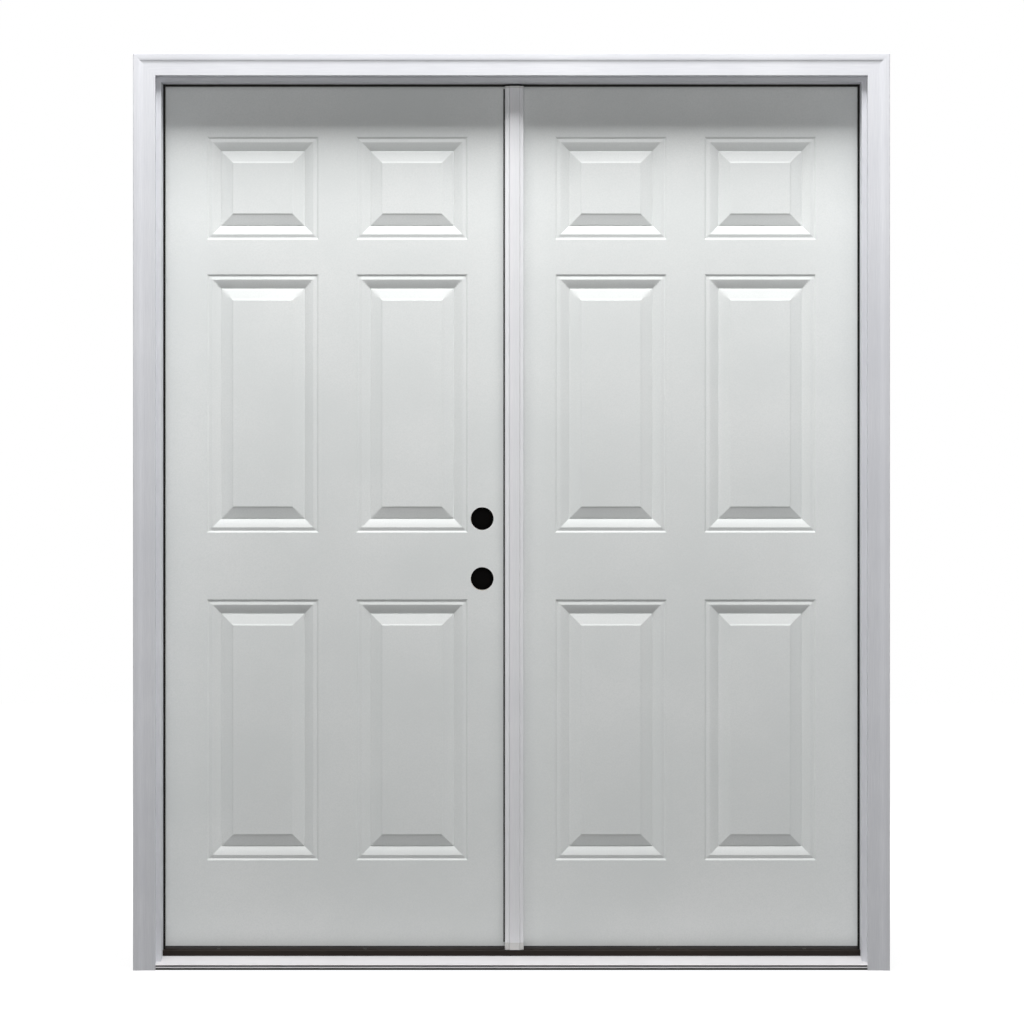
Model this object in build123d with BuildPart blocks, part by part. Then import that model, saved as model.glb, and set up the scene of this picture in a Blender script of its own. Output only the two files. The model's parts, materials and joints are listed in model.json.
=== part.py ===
from build123d import *
import os

# A prehung pair of exterior doors: two six-panel steel leaves in a rabbeted wood frame with brickmould.
# X runs along the unit, with the active leaf at negative X. Y runs from outdoors to indoors. Z is up.
# The origin is the middle of the sill's underside, in the plane of the jambs' outer edges. Millimetres.

os.makedirs("parts", exist_ok=True)

# Frame
unit_width = 1676.4
unit_height = 2076.45
jamb_depth = 115.9
jamb_thickness = 30.2
rabbet_depth = 9.5
kerf_width = 3.0
kerf_depth = 9.5
kerf_inset = 2.0
fit_gap = 0.2

# Brickmould: a flat, a cove, a small step and a bead up to the outer band
mould_width = 50.8
mould_thickness = 31.75
mould_projection = 31.75
mould_flat_width = 26.0
mould_flat_thickness = 28.6
mould_cove_width = 9.0
mould_cove_rise = 1.5
mould_step_rise = 0.5
mould_bead_width = 6.5
mould_edge_radius = 1.6

# Sill deck, an extrusion with a grooved drip nose, a sloping tread and a channel for the riser
sill_nose_reach = 27.0
sill_nose_height = 13.0
sill_nose_wall = 9.0
sill_nose_drop = 5.3
sill_lip_round = 1.2
sill_groove_height = 3.6
sill_groove_depth = 6.0
sill_groove_level = 8.0
sill_wall = 2.2
sill_tread_height = 26.0
sill_channel_floor = 16.0
sill_back_height = 34.0
sill_horn_gap = 0.25

# Riser, a moulded channel that slides up and down in the deck's channel
riser_lead = 27.45
riser_depth = 60.0
riser_top = 39.5
riser_plate = 8.2
riser_leg = 6.0
riser_boss = 14.0
riser_travel = 4.0
riser_clearance = 0.3
riser_round = 2.5

# Leaves
leaf_thickness = 44.45
leaf_bottom = 46.8
hinge_gap = 3.2
head_gap = 3.2
lock_gap = 3.2
skin_gauge = 0.6
stile_width = 28.0
top_rail_height = 28.0
bottom_rail_height = 40.0

# Raised panels: three rows of two, pressed into both skins
lock_stile_margin = 93.65
hinge_stile_margin = 107.6
mullion_width = 87.9
bottom_rail_margin = 198.7
lock_rail_height = 155.3
frieze_rail_height = 80.8
top_rail_margin = 127.55
bottom_panel_share = 0.4195
middle_panel_share = 0.4154
emboss_lip_width = 6.6
emboss_lip_depth = 2.5
emboss_band_width = 5.4
emboss_band_depth = 0.8
emboss_ovolo_width = 19.6
emboss_ovolo_depth = 10.6
emboss_quirk_width = 2.2
emboss_depth = 11.2
emboss_bevel_width = 22.4
emboss_bevel_depth = 2.3
emboss_step_width = 4.3

# Lock preparation in the active leaf
lock_backset = 60.3
lock_bore_radius = 26.99
latch_height = 899.0
lock_spacing = 139.7
edge_bore_radius = 12.7
faceplate_width = 25.4
faceplate_length = 57.2
faceplate_depth = 3.2
lock_block_width = 64.0
lock_block_margin = 120.0
strike_bore_radius = 12.7

# Hinges
hinge_height = 101.6
hinge_plate_width = 38.1
hinge_plate_thickness = 2.8
hinge_knuckle_radius = 6.0
hinge_knuckle_count = 3
hinge_knuckle_gap = 0.4
hinge_knuckle_clearance = 0.5
hinge_pin_radius = 3.2
hinge_pin_clearance = 0.05
hinge_pin_proud = 2.0
hinge_top_setback = 177.8
hinge_bottom_setback = 279.4

# Astragal: a web on the inactive leaf's edge and a crowned flange outdoors, both of timber
web_width = 12.7
flange_active_reach = 10.5
flange_inactive_reach = 20.5
flange_thickness = 16.5
flange_edge_radius = 2.0
flange_crown_height = 4.5
flange_crown_start = 0.6
flange_crown_width = 25.5
flange_crown_shoulder = 1.6
flange_standoff = 6.05
flange_leg_width = 4.5
boot_bottom_height = 16.8
boot_top_height = 5.0

# Flush bolts in grooves of the astragal's web
bolt_radius = 3.5
bolt_length = 200.0
bolt_travel = 19.0
bolt_recess = 1.1
bolt_tab_width = 6.0
bolt_tab_height = 14.0
bolt_tab_proud = 0.5
bolt_groove_clearance = 0.6
bolt_strike_width = 11.0
bolt_strike_depth = 14.0
bolt_end_clearance = 3.3
strike_plate_width = 25.4
strike_plate_length = 60.0
strike_plate_thickness = 1.6

# Seals
seal_space = 7.95
seal_clearance = 0.35
strip_reach = 5.0
strip_cover = 8.0
meeting_strip_reach = 3.5
strip_round = 2.8
strip_leg_gap = 0.3
strip_tip_gap = 0.5
sweep_plate = 2.5
sweep_fin = 2.0
sweep_fin_count = 5
sweep_inset = 1.0
pad_width = 25.0
pad_height = 50.0
pad_thickness = 2.6
pad_taper = 1.4
pad_front_gap = 1.0

overrun = 10.0

# Planes and lines that several pieces share
half_width = unit_width / 2
leaf_front = jamb_depth - leaf_thickness
leaf_back = jamb_depth
stop_depth = leaf_front - seal_space
stop_x = half_width - jamb_thickness
rabbet_x = stop_x + rabbet_depth
stop_z = unit_height - jamb_thickness
rabbet_z = stop_z + rabbet_depth
kerf_outer_x = rabbet_x - kerf_inset
kerf_upper_z = rabbet_z - kerf_inset

meeting_gap = web_width + lock_gap
leaf_lock_x = meeting_gap / 2
leaf_hinge_x = rabbet_x - hinge_gap
leaf_width = leaf_hinge_x - leaf_lock_x
leaf_middle_x = (leaf_hinge_x + leaf_lock_x) / 2
leaf_top = rabbet_z - head_gap
leaf_height = leaf_top - leaf_bottom
leaf_middle_z = (leaf_top + leaf_bottom) / 2
leaf_middle_y = (leaf_front + leaf_back) / 2
core_front = leaf_front + skin_gauge
core_back = leaf_back - skin_gauge
core_thickness = core_back - core_front

mould_outer_x = half_width + mould_projection
mould_inner_x = mould_outer_x - mould_width
mould_outer_z = unit_height + mould_projection
mould_inner_z = mould_outer_z - mould_width

hinge_x = (rabbet_x + leaf_hinge_x) / 2
hinge_y = jamb_depth + hinge_knuckle_radius + hinge_knuckle_clearance
hinge_top_z = leaf_top - hinge_top_setback - hinge_height / 2
hinge_bottom_z = leaf_bottom + hinge_bottom_setback + hinge_height / 2
hinge_heights = {
    "top": hinge_top_z,
    "middle": (hinge_top_z + hinge_bottom_z) / 2,
    "bottom": hinge_bottom_z,
}

lock_heights = (latch_height, latch_height + lock_spacing)
lock_bore_x = leaf_lock_x + lock_backset
lock_block_x = leaf_lock_x + stile_width
lock_block_low = lock_heights[0] - lock_block_margin
lock_block_high = lock_heights[1] + lock_block_margin

web_right = leaf_lock_x
web_left = web_right - web_width
bolt_x = (web_left + web_right) / 2
bolt_y = leaf_middle_y
bolt_pocket_depth = bolt_travel + bolt_end_clearance - head_gap - bolt_recess
flange_back = leaf_front - flange_standoff
flange_left = web_left - flange_active_reach
flange_right = web_right + flange_inactive_reach
crown_left = web_left - flange_crown_start
crown_right = crown_left + flange_crown_width
flange_front = flange_back - flange_thickness
crown_front = flange_front - flange_crown_height
strip_bottom = riser_top + strip_tip_gap
flange_bottom = riser_top + seal_clearance
flange_top = stop_z - strip_reach - seal_clearance

rails_height = bottom_rail_margin + lock_rail_height + frieze_rail_height + top_rail_margin
panels_height = leaf_height - rails_height
bottom_panel_height = bottom_panel_share * panels_height
middle_panel_height = middle_panel_share * panels_height
top_panel_height = panels_height - bottom_panel_height - middle_panel_height
bottom_panel_z = leaf_bottom + bottom_rail_margin
middle_panel_z = bottom_panel_z + bottom_panel_height + lock_rail_height
top_panel_z = middle_panel_z + middle_panel_height + frieze_rail_height
panel_rows = (
    (bottom_panel_height, bottom_panel_z + bottom_panel_height / 2),
    (middle_panel_height, middle_panel_z + middle_panel_height / 2),
    (top_panel_height, top_panel_z + top_panel_height / 2),
)
panel_width = (leaf_width - lock_stile_margin - hinge_stile_margin - mullion_width) / 2
panel_near_x = leaf_lock_x + lock_stile_margin + panel_width / 2
panel_far_x = leaf_hinge_x - hinge_stile_margin - panel_width / 2
emboss_width = (
    emboss_lip_width + emboss_band_width + emboss_ovolo_width + emboss_quirk_width
    + emboss_bevel_width + emboss_step_width
)


def keep(part, name):
    """Label a finished piece and write its STEP file."""
    part.label = name
    export_step(part, f"parts/{name}.step")


def keep_both_sides(part, left_name, right_name):
    """Write a piece made for the right side, and its mirror image for the left side."""
    keep(part, right_name)
    with BuildPart() as left:
        mirror(part, about=Plane.YZ)
    keep(left.part, left_name)


def upright(y):
    """The upright plane at depth y: its own axes are X and Z, and it extrudes outdoors."""
    return Plane.XZ.offset(-y)


def block(x0, x1, y0, y1, z0, z1, mode=Mode.ADD):
    """A straight piece between two corners, extruded upwards from its footprint."""
    with BuildSketch(Plane.XY.offset(z0)) as footprint:
        with Locations(((x0 + x1) / 2, (y0 + y1) / 2)):
            Rectangle(abs(x1 - x0), abs(y1 - y0))
    extrude(footprint.sketch, amount=z1 - z0, mode=mode)


def hinge_recesses(x, direction):
    """Cut the three hinge plates' mortises into the open builder's piece, from plane x."""
    with BuildSketch(Plane.YZ.offset(x)) as mortises:
        with Locations(*[(jamb_depth - hinge_plate_width / 2, z) for z in hinge_heights.values()]):
            Rectangle(hinge_plate_width, hinge_height)
    extrude(mortises.sketch, amount=direction * hinge_plate_thickness, mode=Mode.SUBTRACT)


def stop_notches(gap, height):
    """Cut the open builder's piece clear of both jambs' feet."""
    with BuildSketch(Plane.XY) as feet:
        with BuildLine():
            Polyline(
                (stop_x - gap, -gap),
                (unit_width, -gap),
                (unit_width, unit_width),
                (rabbet_x - gap, unit_width),
                (rabbet_x - gap, stop_depth + gap),
                (stop_x - gap, stop_depth + gap),
                close=True,
            )
        make_face()
        mirror(about=Plane.YZ)
    extrude(feet.sketch, amount=height, mode=Mode.SUBTRACT)


# Side jambs: rabbeted section, kerf for the weatherstrip, mortises for the hinges
with BuildPart() as right_jamb:
    with BuildSketch(Plane.XY):
        with BuildLine():
            Polyline(
                (stop_x, 0),
                (half_width, 0),
                (half_width, jamb_depth),
                (rabbet_x, jamb_depth),
                (rabbet_x, stop_depth),
                (kerf_outer_x, stop_depth),
                (kerf_outer_x, stop_depth - kerf_depth),
                (kerf_outer_x - kerf_width, stop_depth - kerf_depth),
                (kerf_outer_x - kerf_width, stop_depth),
                (stop_x, stop_depth),
                close=True,
            )
        make_face()
    extrude(amount=rabbet_z)
    block(stop_x, half_width, 0, stop_depth, stop_z, rabbet_z, mode=Mode.SUBTRACT)
    hinge_recesses(rabbet_x, 1)
keep_both_sides(right_jamb.part, "left_jamb", "right_jamb")

# Head jamb: the same section laid across both side jambs, with a pocket for the top bolt
with BuildPart() as head_jamb:
    with BuildSketch(Plane.YZ):
        with BuildLine():
            Polyline(
                (0, stop_z),
                (stop_depth, stop_z),
                (stop_depth, kerf_upper_z - kerf_width),
                (stop_depth - kerf_depth, kerf_upper_z - kerf_width),
                (stop_depth - kerf_depth, kerf_upper_z),
                (stop_depth, kerf_upper_z),
                (stop_depth, rabbet_z),
                (jamb_depth, rabbet_z),
                (jamb_depth, unit_height),
                (0, unit_height),
                close=True,
            )
        make_face()
    extrude(amount=half_width, both=True)
    with BuildSketch(Plane.XY.offset(rabbet_z)):
        with Locations((bolt_x, bolt_y)):
            Rectangle(strike_plate_length, strike_plate_width)
    extrude(amount=strike_plate_thickness, mode=Mode.SUBTRACT)
    with BuildSketch(Plane.XY.offset(rabbet_z)):
        with Locations((bolt_x, bolt_y)):
            Rectangle(bolt_strike_width, bolt_strike_depth)
    extrude(amount=bolt_pocket_depth, mode=Mode.SUBTRACT)
keep(head_jamb.part, "head_jamb")

with BuildPart() as head_strike_plate:
    with BuildSketch(Plane.XY.offset(rabbet_z)):
        with Locations((bolt_x, bolt_y)):
            Rectangle(strike_plate_length, strike_plate_width)
            Rectangle(bolt_strike_width, bolt_strike_depth, mode=Mode.SUBTRACT)
    extrude(amount=strike_plate_thickness)
keep(head_strike_plate.part, "head_strike_plate")


def mould_section(section):
    """Draw the brickmould's section: across the face from its inner edge, and out from the wall."""
    cove_start = (mould_flat_width, mould_flat_thickness)
    cove_end = (mould_flat_width + mould_cove_width, mould_flat_thickness + mould_cove_rise)
    bead_start = (cove_end[0], cove_end[1] + mould_step_rise)
    bead_end = (bead_start[0] + mould_bead_width, mould_thickness)
    with BuildLine() as outline:
        Polyline((0, 0), (0, mould_flat_thickness), cove_start)
        TangentArc(cove_start, cove_end, tangent=(1, 0))
        Line(cove_end, bead_start)
        TangentArc(bead_end, bead_start, tangent=(-1, 0))
        Polyline(bead_end, (mould_width, mould_thickness), (mould_width, 0), (0, 0))
    make_face(outline.edges())
    corners = section.vertices().filter_by(lambda v: v.X in (0, mould_width) and v.Y > 0)
    fillet(corners, mould_edge_radius)


# Brickmould: two legs and a head, mitred together
with BuildPart() as right_brickmould:
    with BuildSketch(Plane((mould_inner_x, 0, 0), x_dir=(1, 0, 0), z_dir=(0, 0, -1))) as leg_section:
        mould_section(leg_section)
    extrude(amount=-mould_outer_z)
    with BuildSketch(upright(0)):
        with BuildLine():
            Polyline(
                (mould_inner_x, 0),
                (mould_outer_x, 0),
                (mould_outer_x, mould_outer_z),
                (mould_inner_x, mould_inner_z),
                close=True,
            )
        make_face()
    extrude(amount=mould_thickness, mode=Mode.INTERSECT)
keep_both_sides(right_brickmould.part, "left_brickmould", "right_brickmould")

with BuildPart() as head_brickmould:
    with BuildSketch(Plane((0, 0, mould_inner_z), x_dir=(0, 0, 1), z_dir=(1, 0, 0))) as head_section:
        mould_section(head_section)
    extrude(amount=mould_outer_x, both=True)
    with BuildSketch(upright(0)):
        with BuildLine():
            Polyline(
                (-mould_outer_x, mould_outer_z),
                (mould_outer_x, mould_outer_z),
                (mould_inner_x, mould_inner_z),
                (-mould_inner_x, mould_inner_z),
                close=True,
            )
        make_face()
    extrude(amount=mould_thickness, mode=Mode.INTERSECT)
keep(head_brickmould.part, "head_brickmould")

# Sill: the deck is one extrusion over the substrate, which shows under the nose
nose_y = -sill_nose_reach
riser_front = leaf_front - riser_lead
channel_front = riser_front - riser_clearance
channel_back = riser_front + riser_depth + riser_clearance
tread_start = nose_y + sill_lip_round
tread_slope = (sill_tread_height - sill_nose_height) / (channel_front - tread_start)
under_front = nose_y + sill_nose_wall
under_back = channel_front - sill_wall
under_front_z = sill_nose_height + tread_slope * (under_front - tread_start) - sill_wall
under_back_z = sill_nose_height + tread_slope * (under_back - tread_start) - sill_wall
under_floor_z = sill_channel_floor - sill_wall
sill_half_length = mould_inner_x - sill_horn_gap
nose_groove_top = sill_groove_level + sill_groove_height

with BuildPart() as sill_deck:
    with BuildSketch(Plane.YZ):
        with BuildLine():
            Polyline(
                (under_front, sill_nose_drop),
                (nose_y, sill_nose_drop),
                (nose_y, sill_groove_level),
                (nose_y + sill_groove_depth, sill_groove_level),
                (nose_y + sill_groove_depth, nose_groove_top),
                (nose_y, nose_groove_top),
                (nose_y, sill_nose_height - sill_lip_round),
            )
            RadiusArc(
                (nose_y, sill_nose_height - sill_lip_round), (tread_start, sill_nose_height), sill_lip_round
            )
            Polyline(
                (tread_start, sill_nose_height),
                (channel_front, sill_tread_height),
                (channel_front, sill_channel_floor),
                (channel_back, sill_channel_floor),
                (channel_back, sill_back_height),
                (channel_back + sill_wall, sill_back_height),
                (channel_back + sill_wall, 0),
                (channel_back, 0),
                (channel_back, under_floor_z),
                (under_back, under_floor_z),
                (under_back, under_back_z),
                (under_front, under_front_z),
                (under_front, sill_nose_drop),
            )
        make_face()
    extrude(amount=sill_half_length, both=True)
    stop_notches(fit_gap, unit_height)
keep(sill_deck.part, "sill_deck")

with BuildPart() as sill_substrate:
    with BuildSketch(Plane.YZ):
        with BuildLine():
            Polyline(
                (under_front, 0),
                (under_front, under_front_z),
                (under_back, under_back_z),
                (under_back, under_floor_z),
                (channel_back, under_floor_z),
                (channel_back, 0),
                close=True,
            )
        make_face()
    extrude(amount=sill_half_length, both=True)
    stop_notches(fit_gap, unit_height)
keep(sill_substrate.part, "sill_substrate")

# Riser: a ribbed channel, slotted for the bottom bolt
riser_bottom = sill_channel_floor + riser_travel
riser_back = riser_front + riser_depth
riser_middle = (riser_front + riser_back) / 2
riser_underside = riser_top - riser_plate

with BuildPart() as sill_riser:
    with BuildSketch(Plane.YZ) as riser_section:
        with BuildLine():
            Polyline(
                (riser_front, riser_bottom),
                (riser_front, riser_top),
                (riser_back, riser_top),
                (riser_back, riser_bottom),
                (riser_back - riser_leg, riser_bottom),
                (riser_back - riser_leg, riser_underside),
                (riser_middle + riser_boss / 2, riser_underside),
                (riser_middle + riser_boss / 2, riser_bottom),
                (riser_middle - riser_boss / 2, riser_bottom),
                (riser_middle - riser_boss / 2, riser_underside),
                (riser_front + riser_leg, riser_underside),
                (riser_front + riser_leg, riser_bottom),
                close=True,
            )
        make_face()
        fillet(riser_section.vertices().group_by(Axis.Y)[-1], riser_round)
    extrude(amount=rabbet_x, both=True)
    stop_notches(riser_clearance, unit_height)
    with BuildSketch(Plane.XY.offset(riser_top)):
        with Locations((bolt_x, bolt_y)):
            Rectangle(bolt_strike_width, bolt_strike_depth)
    extrude(amount=riser_underside - riser_top, mode=Mode.SUBTRACT)
keep(sill_riser.part, "sill_riser")

# Weatherstrip: a bulb on the stop's inner face with a leg in the kerf
strip_back = leaf_front - seal_clearance
leg_inner = kerf_outer_x - kerf_width + strip_leg_gap
leg_outer = kerf_outer_x - strip_leg_gap

with BuildPart() as right_weatherstrip:
    with BuildSketch(Plane.XY.offset(strip_bottom)) as strip_section:
        with Locations(((stop_x - strip_reach + stop_x + strip_cover) / 2, (stop_depth + strip_back) / 2)):
            Rectangle(strip_reach + strip_cover, strip_back - stop_depth)
        fillet(strip_section.vertices().group_by(Axis.X)[0], strip_round)
        with Locations(((leg_inner + leg_outer) / 2, stop_depth)):
            Rectangle(leg_outer - leg_inner, kerf_depth - strip_leg_gap, align=(Align.CENTER, Align.MAX))
    extrude(amount=stop_z - strip_bottom)
keep_both_sides(right_weatherstrip.part, "left_weatherstrip", "right_weatherstrip")

with BuildPart() as head_weatherstrip:
    with BuildSketch(Plane.YZ) as strip_section:
        with Locations(((stop_depth + strip_back) / 2, (stop_z - strip_reach + stop_z + strip_cover) / 2)):
            Rectangle(strip_back - stop_depth, strip_reach + strip_cover)
        fillet(strip_section.vertices().group_by(Axis.Y)[0], strip_round)
        with Locations((stop_depth, kerf_upper_z - kerf_width / 2)):
            Rectangle(
                kerf_depth - strip_leg_gap,
                kerf_width - strip_leg_gap - strip_leg_gap,
                align=(Align.MAX, Align.CENTER),
            )
    extrude(amount=stop_x - strip_reach - strip_leg_gap, both=True)
keep(head_weatherstrip.part, "head_weatherstrip")

# Corner pads: tapered foam at the foot of each rabbet, behind the weatherstrip
with BuildPart() as right_corner_pad:
    with BuildSketch(Plane.XZ.offset(-leaf_front - pad_front_gap)):
        with BuildLine():
            Polyline(
                (rabbet_x, strip_bottom),
                (rabbet_x - pad_thickness, strip_bottom),
                (rabbet_x - pad_thickness + pad_taper, strip_bottom + pad_height),
                (rabbet_x, strip_bottom + pad_height),
                close=True,
            )
        make_face()
    extrude(amount=-pad_width)
keep_both_sides(right_corner_pad.part, "left_corner_pad", "right_corner_pad")


# Hinges: two plates with interleaved knuckles on each pin
knuckle_height = hinge_height / hinge_knuckle_count


def hinge_plate(z, plate_x, direction, first_row):
    """One hinge plate on the right side: direction is +1 into the jamb and -1 into the leaf."""
    with BuildPart() as plate:
        with BuildSketch(Plane.YZ.offset(plate_x)):
            with Locations((jamb_depth - hinge_plate_width / 2, z)):
                Rectangle(hinge_plate_width, hinge_height)
        extrude(amount=direction * hinge_plate_thickness)
        for row in range(first_row, hinge_knuckle_count, 2):
            row_bottom = z - hinge_height / 2 + row * knuckle_height + hinge_knuckle_gap / 2
            with BuildSketch(Plane.XY.offset(row_bottom)):
                with Locations((hinge_x, hinge_y)):
                    Circle(hinge_knuckle_radius)
                with Locations((plate_x + direction * hinge_plate_thickness / 2, jamb_depth)):
                    Rectangle(
                        hinge_plate_thickness, hinge_y - jamb_depth, align=(Align.CENTER, Align.MIN)
                    )
                with Locations((hinge_x, hinge_y)):
                    Circle(hinge_pin_radius + hinge_pin_clearance, mode=Mode.SUBTRACT)
            extrude(amount=knuckle_height - hinge_knuckle_gap)
    return plate.part


for level, height in hinge_heights.items():
    jamb_plate = hinge_plate(height, rabbet_x, 1, 0)
    keep_both_sides(jamb_plate, f"left_jamb_hinge_{level}", f"right_jamb_hinge_{level}")
    leaf_plate = hinge_plate(height, leaf_hinge_x, -1, 1)
    keep_both_sides(leaf_plate, f"active_hinge_{level}", f"inactive_hinge_{level}")

with BuildPart() as right_hinge_pins:
    for height in hinge_heights.values():
        with BuildSketch(Plane.XY.offset(height)):
            with Locations((hinge_x, hinge_y)):
                Circle(hinge_pin_radius)
        extrude(amount=hinge_height / 2 + hinge_pin_proud, both=True)
keep_both_sides(right_hinge_pins.part, "left_hinge_pins", "right_hinge_pins")


# Raised panels: a mitred ring groove, pressed into each skin
def emboss_section():
    """Draw the moulding round a panel: inwards from the panel's outer edge, and in from the face."""
    lip = (emboss_lip_width, emboss_lip_depth)
    band = (lip[0] + emboss_band_width, emboss_band_depth)
    ovolo = (band[0] + emboss_ovolo_width, emboss_ovolo_depth)
    quirk = (ovolo[0] + emboss_quirk_width, emboss_depth)
    bevel = (quirk[0] + emboss_bevel_width, emboss_bevel_depth)
    with BuildLine() as outline:
        Polyline((0, 0), lip, band, ovolo, quirk, bevel, (emboss_width, 0), close=True)
    make_face(outline.edges())


def mitred_bar(plane, length, corners):
    """One side of a panel's groove: the moulding's section, cut to the mitre drawn by corners."""
    with BuildPart() as bar:
        with BuildSketch(plane):
            emboss_section()
        extrude(amount=length / 2, both=True)
        with BuildSketch(Plane.XZ):
            with BuildLine():
                Polyline(*corners, close=True)
            make_face()
        extrude(amount=emboss_depth + overrun, both=True, mode=Mode.INTERSECT)
    return bar.part


def panel_groove(height):
    """The groove of one raised panel, centred on the origin and sunk along +Y."""
    side, top = panel_width / 2, height / 2
    inner_side, inner_top = side - emboss_width, top - emboss_width
    upright_bar = mitred_bar(
        Plane((side, 0, 0), x_dir=(-1, 0, 0), z_dir=(0, 0, -1)),
        height,
        ((side, top), (side, -top), (inner_side, -inner_top), (inner_side, inner_top)),
    )
    level_bar = mitred_bar(
        Plane((0, 0, top), x_dir=(0, 0, -1), z_dir=(1, 0, 0)),
        panel_width,
        ((-side, top), (side, top), (inner_side, inner_top), (-inner_side, inner_top)),
    )
    with BuildPart() as groove:
        add(upright_bar)
        add(level_bar)
        mirror(upright_bar, about=Plane.YZ)
        mirror(level_bar, about=Plane.XY)
    return groove.part


outside_grooves = [panel_groove(height) for height, centre in panel_rows]
inside_grooves = []
for outside_groove in outside_grooves:
    with BuildPart() as turned:
        mirror(outside_groove, about=Plane.XZ)
    inside_grooves.append(turned.part)


def panel_columns(side):
    """The middles of a leaf's two columns of panels."""
    return (side * panel_near_x, side * panel_far_x)


def place_grooves(grooves, side, y, mode):
    """Add or cut the six panels' grooves of one face at depth y."""
    for groove, (height, centre) in zip(grooves, panel_rows):
        with Locations(*[(x, y, centre) for x in panel_columns(side)]):
            add(groove, mode=mode)


def skin(side, grooves, face_y, inward, bored):
    """A pressed skin: face_y is its show face and inward the direction into the leaf."""
    with BuildPart() as sheet:
        with BuildSketch(upright(face_y)):
            with Locations((side * leaf_middle_x, leaf_middle_z)):
                Rectangle(leaf_width, leaf_height)
            if bored:
                with Locations(*[(side * lock_bore_x, z) for z in lock_heights]):
                    Circle(lock_bore_radius, mode=Mode.SUBTRACT)
            if face_y == leaf_back:
                hinge_edge = side * (leaf_hinge_x - hinge_plate_thickness / 2)
                with Locations(*[(hinge_edge, z) for z in hinge_heights.values()]):
                    Rectangle(hinge_plate_thickness, hinge_height, mode=Mode.SUBTRACT)
        extrude(amount=-inward * skin_gauge)
        place_grooves(grooves, side, face_y + inward * skin_gauge, Mode.ADD)
        place_grooves(grooves, side, face_y, Mode.SUBTRACT)
    return sheet.part


def rail(side, z0, z1):
    """A wood rail between the two stiles of a leaf."""
    with BuildPart() as piece:
        block(
            side * (leaf_lock_x + stile_width),
            side * (leaf_hinge_x - stile_width),
            core_front,
            core_back,
            z0,
            z1,
        )
    return piece.part


def hinge_stile(side):
    """The wood stile on the hinge edge, mortised for its plates."""
    with BuildPart() as piece:
        block(
            side * (leaf_hinge_x - stile_width),
            side * leaf_hinge_x,
            core_front,
            core_back,
            leaf_bottom,
            leaf_top,
        )
        hinge_recesses(side * leaf_hinge_x, -side)
    return piece.part


def sweep_strip(side):
    """A finned strip under a leaf, seated on its bottom edge."""
    with BuildPart() as piece:
        front, back = leaf_front + sweep_inset, leaf_back - sweep_inset
        fin_pitch = (back - front - sweep_fin) / (sweep_fin_count - 1)
        low = riser_top + seal_clearance
        span = (side * (leaf_lock_x + sweep_inset), side * (leaf_hinge_x - sweep_inset))
        block(*span, front, back, leaf_bottom - sweep_plate, leaf_bottom)
        for i in range(sweep_fin_count):
            fin_front = front + i * fin_pitch
            block(*span, fin_front, fin_front + sweep_fin, low, leaf_bottom - sweep_plate)
    return piece.part


def core(side, blocked):
    """The foam core, grooved behind the mouldings of both skins and cut round the lock block."""
    with BuildPart() as foam:
        block(
            side * (leaf_lock_x + stile_width),
            side * (leaf_hinge_x - stile_width),
            core_front,
            core_back,
            leaf_bottom + bottom_rail_height,
            leaf_top - top_rail_height,
        )
        if blocked:
            block(
                side * lock_block_x,
                side * (lock_block_x + lock_block_width),
                core_front,
                core_back,
                lock_block_low,
                lock_block_high,
                mode=Mode.SUBTRACT,
            )
        for face_y, inward in ((core_front, 1), (core_back, -1)):
            with BuildSketch(upright(face_y)):
                for height, centre in panel_rows:
                    with Locations(*[(x, centre) for x in panel_columns(side)]):
                        Rectangle(panel_width, height)
                        Rectangle(
                            panel_width - emboss_width - emboss_width,
                            height - emboss_width - emboss_width,
                            mode=Mode.SUBTRACT,
                        )
            extrude(amount=-inward * emboss_depth, mode=Mode.SUBTRACT)
    return foam.part


for leaf_name, side, bored in (("active", -1, True), ("inactive", 1, False)):
    keep(skin(side, outside_grooves, leaf_front, 1, bored), f"{leaf_name}_outer_skin")
    keep(skin(side, inside_grooves, leaf_back, -1, bored), f"{leaf_name}_inner_skin")
    keep(core(side, bored), f"{leaf_name}_core")
    keep(hinge_stile(side), f"{leaf_name}_hinge_stile")
    keep(rail(side, leaf_top - top_rail_height, leaf_top), f"{leaf_name}_top_rail")
    keep(rail(side, leaf_bottom, leaf_bottom + bottom_rail_height), f"{leaf_name}_bottom_rail")
    keep(sweep_strip(side), f"{leaf_name}_sweep")

# Lock stile and lock block of the active leaf, bored for a latch and a deadbolt
with BuildPart() as active_lock_stile:
    block(-leaf_lock_x - stile_width, -leaf_lock_x, core_front, core_back, leaf_bottom, leaf_top)
    with BuildSketch(Plane.YZ.offset(-leaf_lock_x)):
        with Locations(*[(leaf_middle_y, z) for z in lock_heights]):
            Rectangle(faceplate_width, faceplate_length)
    extrude(amount=-faceplate_depth, mode=Mode.SUBTRACT)
    with BuildSketch(Plane.YZ.offset(-leaf_lock_x)):
        with Locations(*[(leaf_middle_y, z) for z in lock_heights]):
            Circle(edge_bore_radius)
    extrude(amount=-stile_width, mode=Mode.SUBTRACT)
keep(active_lock_stile.part, "active_lock_stile")

with BuildPart() as active_lock_block:
    block(
        -lock_block_x - lock_block_width,
        -lock_block_x,
        core_front,
        core_back,
        lock_block_low,
        lock_block_high,
    )
    with BuildSketch(upright(core_back)):
        with Locations(*[(-lock_bore_x, z) for z in lock_heights]):
            Circle(lock_bore_radius)
    extrude(amount=core_thickness, mode=Mode.SUBTRACT)
    with BuildSketch(Plane.YZ.offset(-lock_block_x)):
        with Locations(*[(leaf_middle_y, z) for z in lock_heights]):
            Circle(edge_bore_radius)
    extrude(amount=lock_block_x - lock_bore_x, mode=Mode.SUBTRACT)
keep(active_lock_block.part, "active_lock_block")

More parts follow.
